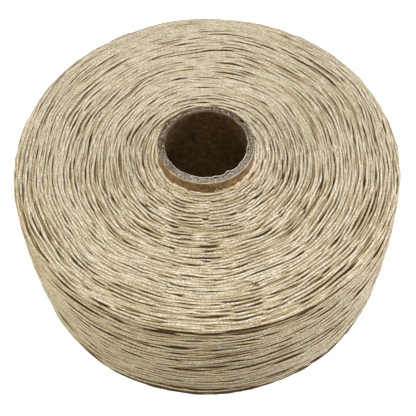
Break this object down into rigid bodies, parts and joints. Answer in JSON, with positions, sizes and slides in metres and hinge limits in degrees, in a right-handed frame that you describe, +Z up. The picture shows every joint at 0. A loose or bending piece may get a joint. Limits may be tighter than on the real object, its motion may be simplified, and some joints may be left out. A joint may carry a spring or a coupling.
{
  "type": "waxed thread spool",
  "caption": "Broad spool of cream waxed linen thread, wound without flanges on a brown and grey paperboard tube that stands proud at both ends.",
  "frame": {"origin": "centre of the paperboard tube's lower end, on the surface that the spool stands on", "axes": "+Z up along the bore, which is the winding's axis of symmetry; X and Y are equal"},
  "size_m": [0.13, 0.13, 0.064],
  "materials": {
    "waxed_thread": "satin",
    "kraft_wrap": "matte",
    "kraft_liner": "matte",
    "chipboard": "matte"
  },
  "bodies": {
    "root": {"core_liner": "kraft_liner", "core_ply_1": "chipboard", "core_ply_2": "chipboard", "core_ply_3": "chipboard", "core_ply_4": "chipboard", "core_wrap": "kraft_wrap", "thread_body": "waxed_thread", "thread_outer_turns": "waxed_thread"}
  },
  "joints": []
}
